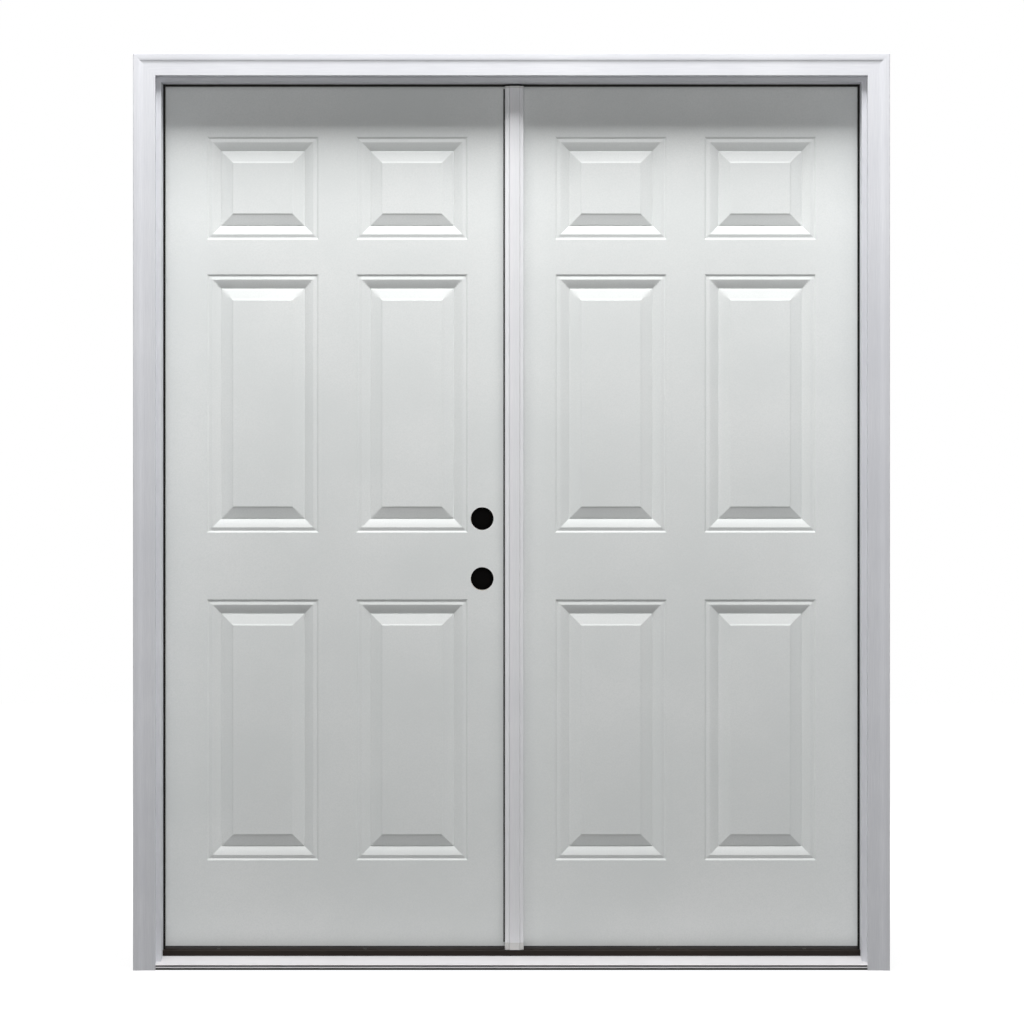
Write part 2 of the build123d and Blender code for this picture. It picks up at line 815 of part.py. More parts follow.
# Lock stile of the inactive leaf, bored behind the astragal's strike holes
with BuildPart() as inactive_lock_stile:
    block(leaf_lock_x, leaf_lock_x + stile_width, core_front, core_back, leaf_bottom, leaf_top)
    with BuildSketch(Plane.YZ.offset(leaf_lock_x)):
        with Locations(*[(leaf_middle_y, z) for z in lock_heights]):
            Circle(strike_bore_radius)
    extrude(amount=stile_width, mode=Mode.SUBTRACT)
keep(inactive_lock_stile.part, "inactive_lock_stile")

# Astragal: a web on the leaf's edge, grooved for the bolts, with a flange over the meeting line
bolt_middles = {
    "top": leaf_top - bolt_recess - bolt_length / 2,
    "bottom": leaf_bottom + bolt_recess + bolt_length / 2,
}
bolt_tabs = {
    "top": leaf_top - bolt_recess - bolt_length + bolt_tab_height / 2,
    "bottom": leaf_bottom + bolt_recess + bolt_length - bolt_tab_height / 2,
}
bolt_directions = {"top": 1, "bottom": -1}
groove_reach = bolt_radius + bolt_groove_clearance
groove_length = bolt_recess + bolt_length + bolt_groove_clearance
bolt_grooves = ((leaf_top - groove_length, leaf_top), (leaf_bottom, leaf_bottom + groove_length))

with BuildPart() as astragal_web:
    block(web_left, web_right, leaf_front, leaf_back, leaf_bottom, leaf_top)
    for groove_bottom, groove_top in bolt_grooves:
        block(
            web_left,
            bolt_x + groove_reach,
            bolt_y - groove_reach,
            bolt_y + groove_reach,
            groove_bottom,
            groove_top,
            mode=Mode.SUBTRACT,
        )
    with BuildSketch(Plane.YZ.offset(web_left)):
        with Locations(*[(leaf_middle_y, z) for z in lock_heights]):
            Circle(strike_bore_radius)
    extrude(amount=web_width, mode=Mode.SUBTRACT)
keep(astragal_web.part, "astragal_web")


def flange_outline(section):
    """Draw the flange's outline: a bar with eased edges and a raised crown, without its legs."""
    shoulder = flange_crown_shoulder
    with BuildLine() as outline:
        Polyline(
            (flange_left, flange_back),
            (flange_left, flange_front),
            (crown_left, flange_front),
            (crown_left + shoulder, crown_front),
            (crown_right - shoulder, crown_front),
            (crown_right, flange_front),
            (flange_right, flange_front),
            (flange_right, flange_back),
            close=True,
        )
    make_face(outline.edges())
    ends = section.vertices().filter_by(lambda v: v.X in (flange_left, flange_right) and v.Y < flange_back)
    fillet(ends, flange_edge_radius)


flange_low = flange_bottom + boot_bottom_height
flange_high = flange_top - boot_top_height

with BuildPart() as astragal_flange:
    with BuildSketch(Plane.XY.offset(flange_low)) as flange_section:
        flange_outline(flange_section)
        with Locations((flange_right, flange_back)):
            Rectangle(flange_leg_width, flange_standoff, align=(Align.MAX, Align.MIN))
        with Locations((web_left, flange_back)):
            Rectangle(flange_leg_width, flange_standoff, align=(Align.MIN, Align.MIN))
    extrude(amount=flange_high - flange_low)
keep(astragal_flange.part, "astragal_flange")

for boot_name, boot_low, boot_high in (
    ("astragal_bottom_boot", flange_bottom, flange_low),
    ("astragal_top_boot", flange_high, flange_top),
):
    with BuildPart() as boot:
        with BuildSketch(Plane.XY.offset(boot_low)) as boot_section:
            flange_outline(boot_section)
        extrude(amount=boot_high - boot_low)
    keep(boot.part, boot_name)

with BuildPart() as astragal_weatherstrip:
    with BuildSketch(Plane.XY.offset(flange_low)) as strip_section:
        with Locations((flange_left - meeting_strip_reach, strip_back)):
            Rectangle(
                meeting_strip_reach + strip_cover,
                strip_back - flange_back,
                align=(Align.MIN, Align.MAX),
            )
        fillet(strip_section.vertices().group_by(Axis.X)[0], strip_round - strip_leg_gap)
    extrude(amount=flange_high - flange_low)
keep(astragal_weatherstrip.part, "astragal_weatherstrip")

# Flush bolts: a rod in the web's groove, with a thumb tab at its inner end
for place, direction in bolt_directions.items():
    with BuildPart() as bolt:
        with BuildSketch(Plane.XY.offset(bolt_middles[place])):
            with Locations((bolt_x, bolt_y)):
                Circle(bolt_radius)
        extrude(amount=bolt_length / 2, both=True)
        tab_z = bolt_tabs[place]
        block(
            web_left - bolt_tab_proud,
            bolt_x,
            bolt_y - bolt_tab_width / 2,
            bolt_y + bolt_tab_width / 2,
            tab_z - bolt_tab_height / 2,
            tab_z + bolt_tab_height / 2,
        )
    keep(bolt.part, f"{place}_flush_bolt")
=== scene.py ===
"""Dress a packed prehung pair of panelled exterior doors.

The CAD nodes get their finishes, pressed skins stand for the plain ones, and fasteners, a dark strip of
painted shade in the sill's nose and a plain studio are added.
"""
import json
import logging
import math
from dataclasses import dataclass
from enum import Enum
from typing import Any

import bpy
import numpy as np
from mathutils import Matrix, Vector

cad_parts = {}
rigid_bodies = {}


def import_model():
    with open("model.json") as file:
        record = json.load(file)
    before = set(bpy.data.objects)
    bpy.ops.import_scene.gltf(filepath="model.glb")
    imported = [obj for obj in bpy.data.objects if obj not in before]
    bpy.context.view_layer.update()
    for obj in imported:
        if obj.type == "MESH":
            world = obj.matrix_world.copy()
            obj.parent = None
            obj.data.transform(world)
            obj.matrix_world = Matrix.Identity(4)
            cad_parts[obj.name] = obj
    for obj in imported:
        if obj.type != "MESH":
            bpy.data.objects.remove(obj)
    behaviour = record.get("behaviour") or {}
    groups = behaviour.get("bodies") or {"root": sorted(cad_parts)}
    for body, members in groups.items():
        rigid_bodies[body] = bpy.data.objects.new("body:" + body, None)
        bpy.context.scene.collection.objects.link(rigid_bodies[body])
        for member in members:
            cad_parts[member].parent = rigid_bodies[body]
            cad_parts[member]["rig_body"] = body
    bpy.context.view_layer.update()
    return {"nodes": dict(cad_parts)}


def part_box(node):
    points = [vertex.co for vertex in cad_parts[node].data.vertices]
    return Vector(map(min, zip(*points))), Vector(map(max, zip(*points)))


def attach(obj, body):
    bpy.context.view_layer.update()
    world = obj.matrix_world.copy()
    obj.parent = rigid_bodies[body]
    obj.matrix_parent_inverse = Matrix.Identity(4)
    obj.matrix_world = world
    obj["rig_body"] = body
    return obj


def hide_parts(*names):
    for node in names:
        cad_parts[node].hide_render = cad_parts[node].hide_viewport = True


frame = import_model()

MM = 0.001
LOG = logging.getLogger("doors")
# Grid lines of a skin that agree to this many digits of a metre are one line.
GRID_DIGITS = 7
# Slack in metres for grid lines that lie right on the edge of a cut-out.
SLACK = 1e-6


class Face(Enum):
    """Which face of a leaf a skin covers, and the way its show face looks along Y."""

    OUTDOOR = -1
    INDOOR = 1


class Run(Enum):
    """The axis that a pattern is drawn out along, or none, as Mapping scale shares for X, Y and Z."""

    EVEN = (1.0, 1.0, 1.0)
    ALONG_X = (0.04, 1.0, 1.0)
    ALONG_Z = (1.0, 1.0, 0.04)


def linear(hex_text: str) -> tuple[float, float, float, float]:
    """Turn an sRGB hex colour into linear RGBA.

    Args:
        hex_text: Six hex digits after a hash sign.

    Returns:
        Linear red, green, blue and an alpha of 1.
    """
    parts = [int(hex_text[start:start + 2], 16) / 255 for start in (1, 3, 5)]
    lit = [part / 12.92 if part <= 0.04045 else ((part + 0.055) / 1.055) ** 2.4 for part in parts]
    return (lit[0], lit[1], lit[2], 1.0)


def add(tree: bpy.types.NodeTree, kind: str, inputs: dict[str | int, Any], **settings: Any) -> bpy.types.Node:
    """Add one node with its settings, values and links.

    Args:
        tree: The node tree that gets the node.
        kind: Blender's name for the node's type.
        inputs: Input name or index to a value, or to an output socket that is linked in.
        settings: Properties of the node itself.

    Returns:
        The new node.
    """
    made = tree.nodes.new(kind)
    for key, value in settings.items():
        setattr(made, key, value)
    for key, value in inputs.items():
        if isinstance(value, bpy.types.NodeSocket):
            tree.links.new(value, made.inputs[key])
        else:
            made.inputs[key].default_value = value
    return made


@dataclass(frozen=True)
class Finish:
    """A surface as it was made: two close tones, a gloss range and a relief, all broken up by noise.

    grain_mm is the size of the pattern across its run, and patch_mm that of a broader mottle. The spans are
    the parts of the noise's range that the tones and the gloss are spread over.
    """

    name: str
    tone: str
    shade: str
    roughness: float
    roughness_spread: float
    grain_mm: float
    relief_mm: float
    run: Run = Run.EVEN
    patch_mm: float = 240.0
    metallic: float = 0.0
    specular: float = 0.5
    grain_detail: float = 4.0
    grain_roughness: float = 0.6
    patch_detail: float = 3.0
    tone_span: tuple[float, float] = (0.15, 0.40)
    gloss_span: tuple[float, float] = (0.3, 0.7)

    def build(self) -> bpy.types.Material:
        """Make the material.

        Returns:
            A material whose noise is scaled from the sizes in millimetres.
        """
        material = bpy.data.materials.new(self.name)
        material.use_nodes = True
        tree = material.node_tree
        tree.nodes.clear()
        place = add(tree, "ShaderNodeTexCoord", {}).outputs["Object"]
        drawn = add(tree, "ShaderNodeMapping", {"Vector": place, "Scale": self.run.value}).outputs["Vector"]
        grain = add(
            tree, "ShaderNodeTexNoise",
            {
                "Vector": drawn, "Scale": 1 / (self.grain_mm * MM),
                "Detail": self.grain_detail, "Roughness": self.grain_roughness,
            },
        ).outputs["Fac"]
        patch = add(
            tree, "ShaderNodeTexNoise",
            {"Vector": place, "Scale": 1 / (self.patch_mm * MM), "Detail": self.patch_detail},
        ).outputs["Fac"]
        blend = add(tree, "ShaderNodeMath", {0: grain, 1: patch}, operation="MULTIPLY").outputs[0]
        spread = add(
            tree, "ShaderNodeMapRange",
            {"Value": blend, "From Min": self.tone_span[0], "From Max": self.tone_span[1]},
        ).outputs["Result"]
        # A Mix node's inputs 6 and 7 and its output 2 are its colours.
        colour = add(
            tree, "ShaderNodeMix", {0: spread, 6: linear(self.shade), 7: linear(self.tone)}, data_type="RGBA"
        ).outputs[2]
        gloss = add(
            tree, "ShaderNodeMapRange",
            {
                "Value": grain, "From Min": self.gloss_span[0], "From Max": self.gloss_span[1],
                "To Min": self.roughness - self.roughness_spread,
                "To Max": self.roughness + self.roughness_spread,
            },
        ).outputs["Result"]
        relief = add(
            tree, "ShaderNodeBump", {"Height": grain, "Strength": 1.0, "Distance": self.relief_mm * MM}
        ).outputs["Normal"]
        shader = add(
            tree, "ShaderNodeBsdfPrincipled",
            {
                "Base Color": colour, "Roughness": gloss, "Normal": relief,
                "Metallic": self.metallic, "Specular IOR Level": self.specular,
            },
        ).outputs["BSDF"]
        add(tree, "ShaderNodeOutputMaterial", {"Surface": shader})
        return material


# Primer over planed pine: a flat, slightly chalky white through which the grain just shows along the run.
PRIMED_UPRIGHT = Finish(
    "primed pine upright", "#E4E5E9", "#DADBE0", 0.52, 0.05, 2.6, 0.05, Run.ALONG_Z, specular=0.35
)
PRIMED_LEVEL = Finish(
    "primed pine level", "#E4E5E9", "#DADBE0", 0.52, 0.05, 2.6, 0.05, Run.ALONG_X, specular=0.35
)
# Baked primer on pressed galvanised steel: even, cool white with a faint orange peel.
PRIMED_STEEL = Finish("primed pressed steel", "#EEF0EF", "#E6E9E8", 0.58, 0.04, 3.2, 0.035, specular=0.3)
# The astragal has a second coat: a little whiter and smoother than the frame's primer.
TWICE_PRIMED = Finish(
    "twice primed pine", "#F0F0F2", "#E7E7EA", 0.46, 0.04, 2.6, 0.03, Run.ALONG_Z, specular=0.4
)
# Mill-finish aluminium under its dull white oxide, with die lines along the extrusion.
MILL_ALUMINIUM = Finish(
    "mill finish aluminium", "#F0EEF0", "#E8E6E8", 0.46, 0.06, 1.1, 0.03, Run.ALONG_X, metallic=0.08
)
# Satin nickel plate: warm grey metal, brushed so finely that only the spread of gloss shows.
SATIN_NICKEL = Finish("satin nickel", "#B9B3A8", "#A39D92", 0.30, 0.06, 0.9, 0.01, Run.ALONG_Z, metallic=1.0)
# Zinc plate: cool grey metal with a faint crystal mottle.
ZINC = Finish("zinc plated steel", "#B4B6B8", "#9A9DA0", 0.32, 0.07, 4.0, 0.008, metallic=1.0)
# Moulded and extruded plastics: matt, with the fine texture of the tool.
BOOT_PLASTIC = Finish("moulded pale plastic", "#DCDBDA", "#CFCECC", 0.5, 0.05, 0.8, 0.02)
RISER_PLASTIC = Finish(
    "moulded dark brown plastic", "#241C16", "#19130F", 0.55, 0.06, 1.2, 0.03, Run.ALONG_X, specular=0.15
)
# Near black painted shade, for the discs at the back of the lock bores: it stands for the shade deep in the
# holes.
BORE_SHADE_BLACK = Finish("painted bore shade black", "#0B0B0B", "#070707", 0.6, 0.05, 1.2, 0.02, specular=0.05)
SILL_COMPOSITE = Finish("moulded brown composite", "#211B17", "#181411", 0.66, 0.05, 2.0, 0.06, specular=0.15)
SWEEP_VINYL = Finish(
    "extruded grey vinyl", "#524F4D", "#454240", 0.55, 0.05, 1.2, 0.02, Run.ALONG_X, specular=0.25
)
# Foams: soft and dull, smooth where they are clad and pitted where cells are open or cut.
# The sill nose's groove strip gets this finish too, and there its near black is painted shade in the groove.
SEAL_FOAM_AND_GROOVE_SHADE = Finish("clad foam seal and painted groove shade", "#171412", "#0F0D0C", 0.6, 0.05, 1.2, 0.03, specular=0.15)
PAD_FOAM = Finish("open cell foam pad", "#343230", "#262423", 0.85, 0.05, 1.0, 0.12)
CORE_FOAM = Finish("cut insulating foam", "#E6D9B0", "#D6C796", 0.8, 0.06, 1.4, 0.15)
# Planed softwood: early and late wood in long streaks along the piece.
PINE_UPRIGHT = Finish(
    "planed pine upright", "#D9BE93", "#B9966A", 0.55, 0.08, 4.5, 0.06, Run.ALONG_Z, patch_mm=60.0
)
PINE_LEVEL = Finish(
    "planed pine level", "#D9BE93", "#B9966A", 0.55, 0.08, 4.5, 0.06, Run.ALONG_X, patch_mm=60.0
)
WHITE = linear("#FFFFFF")

# One plate of each of the left jamb's hinges: the hinges of both leaves sit at these heights.
HINGE_PLATES = ("left_jamb_hinge_bottom", "left_jamb_hinge_middle", "left_jamb_hinge_top")
# Heights of the two lock bores in mm.
LOCK_HEIGHTS = (899.0, 1038.7)


class Shelf:
    """Keeps one material per finish."""

    def __init__(self) -> None:
        """Start with an empty shelf."""
        self._made: dict[str, bpy.types.Material] = {}

    def get(self, finish: Finish) -> bpy.types.Material:
        """Find a finish's material, or make it on its first use.

        Args:
            finish: The finish that is asked for.

        Returns:
            Its one material.
        """
        if finish.name not in self._made:
            self._made[finish.name] = finish.build()
        return self._made[finish.name]


@dataclass(frozen=True)
class Dressing:
    """Which finish each carried-over CAD node gets, by the end of its name. The first match holds."""

    rules: tuple[tuple[str, Finish], ...] = (
        ("head_jamb", PRIMED_LEVEL),
        ("head_brickmould", PRIMED_LEVEL),
        ("_jamb", PRIMED_UPRIGHT),
        ("_brickmould", PRIMED_UPRIGHT),
        ("_skin", PRIMED_STEEL),
        ("_core", CORE_FOAM),
        ("_stile", PINE_UPRIGHT),
        ("_rail", PINE_LEVEL),
        ("_block", PINE_UPRIGHT),
        ("_sweep", SWEEP_VINYL),
        ("_weatherstrip", SEAL_FOAM_AND_GROOVE_SHADE),
        ("_corner_pad", PAD_FOAM),
        ("head_strike_plate", ZINC),
        ("_flush_bolt", ZINC),
        ("_boot", BOOT_PLASTIC),
        ("astragal_web", PRIMED_UPRIGHT),
        ("astragal_flange", TWICE_PRIMED),
        ("sill_deck", MILL_ALUMINIUM),
        ("sill_substrate", SILL_COMPOSITE),
        ("sill_riser", RISER_PLASTIC),
        ("_pins", SATIN_NICKEL),
        ("_top", SATIN_NICKEL),
        ("_middle", SATIN_NICKEL),
        ("_bottom", SATIN_NICKEL),
    )

    def apply(self, nodes: dict[str, bpy.types.Object], shelf: Shelf) -> None:
        """Give every CAD node its finish.

        Args:
            nodes: The CAD nodes by name.
            shelf: The materials made so far.
        """
        for name, node in nodes.items():
            finish = next(choice for ending, choice in self.rules if name.endswith(ending))
            node.data.materials.clear()
            node.data.materials.append(shelf.get(finish))
            LOG.info("node %s: %s", name, finish.name)


def piece(
    name: str, points: np.ndarray, faces: np.ndarray, material: bpy.types.Material, body: str,
    sharp_deg: float,
) -> bpy.types.Object:
    """Put arrays into a mesh object that rides on a body, with its open rims kept sharp.

    Args:
        name: The piece's name.
        points: Vertex places, one row each, in metres.
        faces: Vertex indices, one row per face.
        material: The piece's material.
        body: The CAD body that carries it.
        sharp_deg: Edges that turn by more than this stay sharp.

    Returns:
        The new object, at the origin.
    """
    used, compact = np.unique(faces, return_inverse=True)
    mesh = bpy.data.meshes.new(name)
    mesh.from_pydata(points[used].tolist(), [], compact.reshape(faces.shape).tolist())
    mesh.polygons.foreach_set("use_smooth", np.ones(len(faces), dtype=bool))
    mesh.set_sharp_from_angle(angle=math.radians(sharp_deg))
    corners = np.empty(len(mesh.loops), dtype=np.int32)
    mesh.loops.foreach_get("edge_index", corners)
    sharp = np.empty(len(mesh.edges), dtype=bool)
    mesh.edges.foreach_get("use_edge_sharp", sharp)
    rim = np.bincount(corners, minlength=len(sharp)) == 1
    mesh.edges.foreach_set("use_edge_sharp", sharp | rim)
    mesh.materials.append(material)
    made = bpy.data.objects.new(name, mesh)
    bpy.context.scene.collection.objects.link(made)
    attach(made, body)
    LOG.info("piece %s: %d faces on %s", name, len(faces), body)
    return made


@dataclass(frozen=True)
class Moulding:
    """Section of the moulding pressed round a raised panel, in mm.

    The stations are distances in from its outer edge: the edge, the foot of the lip, the band, the end of the
    ovolo, the quirk, the start and the end of the bevel, and the field. Each has its depth under the face.
    """

    stations: tuple[float, ...] = (0.0, 4.2, 12.0, 31.6, 32.8, 34.0, 57.0, 60.5)
    depths: tuple[float, ...] = (0.0, 2.8, 0.8, 8.9, 9.9, 7.9, 1.8, 0.0)
    ovolo_swell: float = 0.7
    softness: float = 0.3
    bell_reach: float = 3.0
    fine_span: tuple[float, float] = (-6.0, 70.0)
    fine_step: float = 0.05
    rounding: tuple[float, ...] = (-0.8, -0.3, 0.3, 0.8)
    ovolo_lines: int = 4
    bevel_lines: int = 3

    @property
    def ovolo(self) -> tuple[float, float]:
        """Stations where the ovolo starts and ends."""
        return self.stations[2], self.stations[3]

    @property
    def bevel(self) -> tuple[float, float]:
        """Stations where the bevel starts and ends."""
        return self.stations[5], self.stations[6]

    def offsets(self) -> np.ndarray:
        """Where the section is sampled.

        Returns:
            Distances in from the outer edge, in metres: round each station, and at places on the slopes.
        """
        corners = np.add.outer(np.array(self.stations), np.array(self.rounding)).ravel()
        ovolo = np.linspace(*self.ovolo, self.ovolo_lines + 2)[1:-1]
        bevel = np.linspace(*self.bevel, self.bevel_lines + 2)[1:-1]
        return np.unique(np.concatenate([corners, ovolo, bevel])) * MM

    def depth(self, inset: np.ndarray) -> np.ndarray:
        """Depth under the face at a distance in from the panel's edge.

        The section is straight between stations, less a half sine that swells the ovolo, all averaged with a
        bell curve so that the pressed corners are soft.

        Args:
            inset: Distances in from the outer edge, in metres.

        Returns:
            Depths in metres.
        """
        fine = np.arange(*self.fine_span, self.fine_step)
        level = np.interp(fine, self.stations, self.depths)
        start, end = self.ovolo
        share = np.clip((fine - start) / (end - start), 0, 1)
        level -= self.ovolo_swell * np.sin(np.pi * share)
        reach = np.arange(-self.bell_reach, self.bell_reach, self.fine_step)
        bell = np.exp(-0.5 * (reach / self.softness) ** 2)
        soft = np.convolve(level, bell / bell.sum(), mode="same")
        return np.interp(inset / MM, fine, soft) * MM


@dataclass(frozen=True)
class LeafSkin:
    """A pressed steel skin with raised panels, cut for lock and hinges, in place of its CAD node. In mm."""

    node: str
    face: Face
    bored: bool
    moulding: Moulding = Moulding()
    lock_margin: float = 93.65
    hinge_margin: float = 107.6
    mullion: float = 87.9
    rows: tuple[tuple[float, float], ...] = ((245.5, 851.0), (1006.3, 1605.9), (1686.7, 1925.0))
    lock_backset: float = 60.3
    lock_heights: tuple[float, ...] = LOCK_HEIGHTS
    lock_radius: float = 26.99
    lock_patch: float = 32.5
    fan_lines: int = 17
    hinge_notch: float = 2.8
    gauge: float = 0.6
    sharp_deg: float = 16.0

    def build(self, shelf: Shelf) -> bpy.types.Object:
        """Make the skin.

        The surface is y(x, z) = face -/+ depth(d), with d the least distance from (x, z) in from the edges of
        the panel that holds it, on a grid whose lines follow the moulding. Round each lock hole the grid is
        cut out and a ring surface p(s, t) = (1 - t) square(s) + t circle(s) closes the gap.

        Args:
            shelf: The materials.

        Returns:
            The skin's object.
        """
        low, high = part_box(self.node)
        lock_x, hinge_x = (high.x, low.x) if high.x < 0 else (low.x, high.x)
        inward = math.copysign(1.0, hinge_x - lock_x)
        face_y = low.y if self.face is Face.OUTDOOR else high.y
        panel = (abs(hinge_x - lock_x) - (self.lock_margin + self.hinge_margin + self.mullion) * MM) / 2
        near = lock_x + inward * (self.lock_margin * MM + panel / 2)
        far = hinge_x - inward * (self.hinge_margin * MM + panel / 2)
        middles = np.sort([near, far])
        columns = np.stack([middles - panel / 2, middles + panel / 2], axis=1)
        rows = np.array(self.rows) * MM
        hole_x = lock_x + inward * self.lock_backset * MM
        holes = [(hole_x, height * MM) for height in self.lock_heights if self.bored]
        fan = self.lock_patch * MM * np.tan(np.linspace(-np.pi / 4, np.pi / 4, self.fan_lines))
        notch_x = hinge_x - inward * self.hinge_notch * MM
        notch_z = np.array([[corner.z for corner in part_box(name)] for name in HINGE_PLATES])
        extra_x = [x + fan for x, _ in holes]
        extra_z = [z + fan for _, z in holes]
        if self.face is Face.INDOOR:
            extra_x.append(np.array([notch_x]))
            extra_z.append(notch_z.ravel())
        lines_x = self.lines((low.x, high.x), columns, extra_x)
        lines_z = self.lines((low.z, high.z), rows, extra_z)
        grid_x, grid_z = np.meshgrid(lines_x, lines_z, indexing="ij")
        depth = self.depth_at(grid_x, grid_z, columns, rows)
        points = np.stack([grid_x, face_y - self.face.value * depth, grid_z], axis=-1).reshape(-1, 3)
        faces, points = self.triangles(
            lines_x, lines_z, points, columns, rows, holes, notch_x, notch_z, inward
        )
        if self.face is Face.INDOOR:
            faces = faces[:, ::-1]
        made = piece(
            f"{self.node}_pressed", points, faces, shelf.get(PRIMED_STEEL),
            frame["nodes"][self.node]["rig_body"], self.sharp_deg,
        )
        # The sheet's thickness lies behind its show face.
        sheet = made.modifiers.new("sheet", "SOLIDIFY")
        sheet.thickness = self.gauge * MM
        sheet.offset = -1.0
        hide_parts(self.node)
        return made

    def lines(self, edges: tuple[float, float], spans: np.ndarray, extras: list[np.ndarray]) -> np.ndarray:
        """Grid lines along one axis.

        Args:
            edges: The skin's first and last edge.
            spans: First and last edge of each panel.
            extras: More lines, for the lock holes and the hinge notches.

        Returns:
            The lines in rising order.
        """
        offsets = self.moulding.offsets()
        panels = [np.concatenate([start + offsets, end - offsets]) for start, end in spans]
        return np.unique(np.round(np.concatenate([edges, *panels, *extras]), GRID_DIGITS))

    def depth_at(self, x: np.ndarray, z: np.ndarray, columns: np.ndarray, rows: np.ndarray) -> np.ndarray:
        """Depth under the face at each grid point.

        Args:
            x: Places across the leaf.
            z: Heights.
            columns: Left and right edge of each panel column.
            rows: Lower and upper edge of each panel row.

        Returns:
            Depths in metres, 0 outside the panels.
        """
        across = np.max([np.minimum(x - start, end - x) for start, end in columns], axis=0)
        along = np.max([np.minimum(z - start, end - z) for start, end in rows], axis=0)
        return self.moulding.depth(np.minimum(across, along))

    def triangles(
        self, lines_x: np.ndarray, lines_z: np.ndarray, points: np.ndarray, columns: np.ndarray,
        rows: np.ndarray, holes: list[tuple[float, float]], notch_x: float, notch_z: np.ndarray,
        inward: float,
    ) -> tuple[np.ndarray, np.ndarray]:
        """Split the grid into triangles along the mitres, leave out the cut-outs and add the holes' rings.

        Args:
            lines_x: Grid lines across.
            lines_z: Grid lines up.
            points: Grid points, up first.
            columns: Panel columns' edges.
            rows: Panel rows' edges.
            holes: Lock hole middles.
            notch_x: Inner edge of the hinge notches.
            notch_z: Lower and upper edges of the hinge notches.
            inward: Direction from the lock edge to the hinge edge.

        Returns:
            The triangles, and the points with the rings' points added.
        """
        count_z = len(lines_z)
        middle_x = (lines_x[1:] + lines_x[:-1]) / 2
        middle_z = (lines_z[1:] + lines_z[:-1]) / 2
        cell_x, cell_z = np.meshgrid(middle_x, middle_z, indexing="ij")
        kept = np.ones(cell_x.shape, dtype=bool)
        for hole_x, hole_z in holes:
            reach = self.lock_patch * MM
            kept &= (abs(cell_x - hole_x) > reach) | (abs(cell_z - hole_z) > reach)
        if self.face is Face.INDOOR:
            edge = (cell_x - notch_x) * inward > 0
            for start, end in notch_z:
                kept &= ~(edge & (cell_z > start) & (cell_z < end))
        near_x = self.nearest(cell_x, columns.mean(axis=1))
        near_z = self.nearest(cell_z, rows.mean(axis=1))
        rising = ((cell_x - near_x) * (cell_z - near_z) > 0)[kept]
        column, row = np.nonzero(kept)
        corner = column * count_z + row
        beside, above = corner + count_z, corner + 1
        opposite = above + count_z
        lower = np.stack([corner, beside, np.where(rising, opposite, above)], 1)
        upper = np.stack([np.where(rising, corner, beside), opposite, above], 1)
        parts = [lower, upper]
        for hole_x, hole_z in holes:
            ring, extra = self.ring(lines_x, lines_z, hole_x, hole_z, points)
            parts.append(ring)
            points = np.concatenate([points, extra])
        return np.concatenate(parts), points

    @staticmethod
    def nearest(places: np.ndarray, middles: np.ndarray) -> np.ndarray:
        """Return the panel middle that is nearest to each place."""
        return middles[np.argmin(abs(places[..., None] - middles), axis=-1)]

    def ring(
        self, lines_x: np.ndarray, lines_z: np.ndarray, hole_x: float, hole_z: float, points: np.ndarray
    ) -> tuple[np.ndarray, np.ndarray]:
        """Surface between the square cut-out and a lock hole: each edge point moves straight to the circle.

        Args:
            lines_x: Grid lines across.
            lines_z: Grid lines up.
            hole_x: The hole's middle.
            hole_z: The hole's height.
            points: Points so far, which the new indices follow.

        Returns:
            Triangles, and the points halfway to the circle and on it.
        """
        reach = self.lock_patch * MM + SLACK
        across = np.nonzero(abs(lines_x - hole_x) <= reach)[0]
        along = np.nonzero(abs(lines_z - hole_z) <= reach)[0]
        count_z = len(lines_z)
        loop = np.concatenate([
            across[:-1] * count_z + along[0],
            across[-1] * count_z + along[:-1],
            across[:0:-1] * count_z + along[-1],
            across[0] * count_z + along[:0:-1],
        ])
        square = points[loop]
        middle = np.array([hole_x, hole_z])
        arms = square[:, [0, 2]] - middle
        circle = square.copy()
        circle[:, [0, 2]] = middle + self.lock_radius * MM * arms / np.linalg.norm(arms, axis=1)[:, None]
        halfway = (square + circle) / 2
        base = len(points)
        count = len(loop)
        step = np.arange(count)
        levels = [loop, base + step, base + count + step]
        parts = []
        for outer, inner in zip(levels[:-1], levels[1:]):
            after_outer, after_inner = np.roll(outer, -1), np.roll(inner, -1)
            parts.append(np.stack([outer, after_outer, after_inner], 1))
            parts.append(np.stack([outer, after_inner, inner], 1))
        return np.concatenate(parts), np.concatenate([halfway, circle])


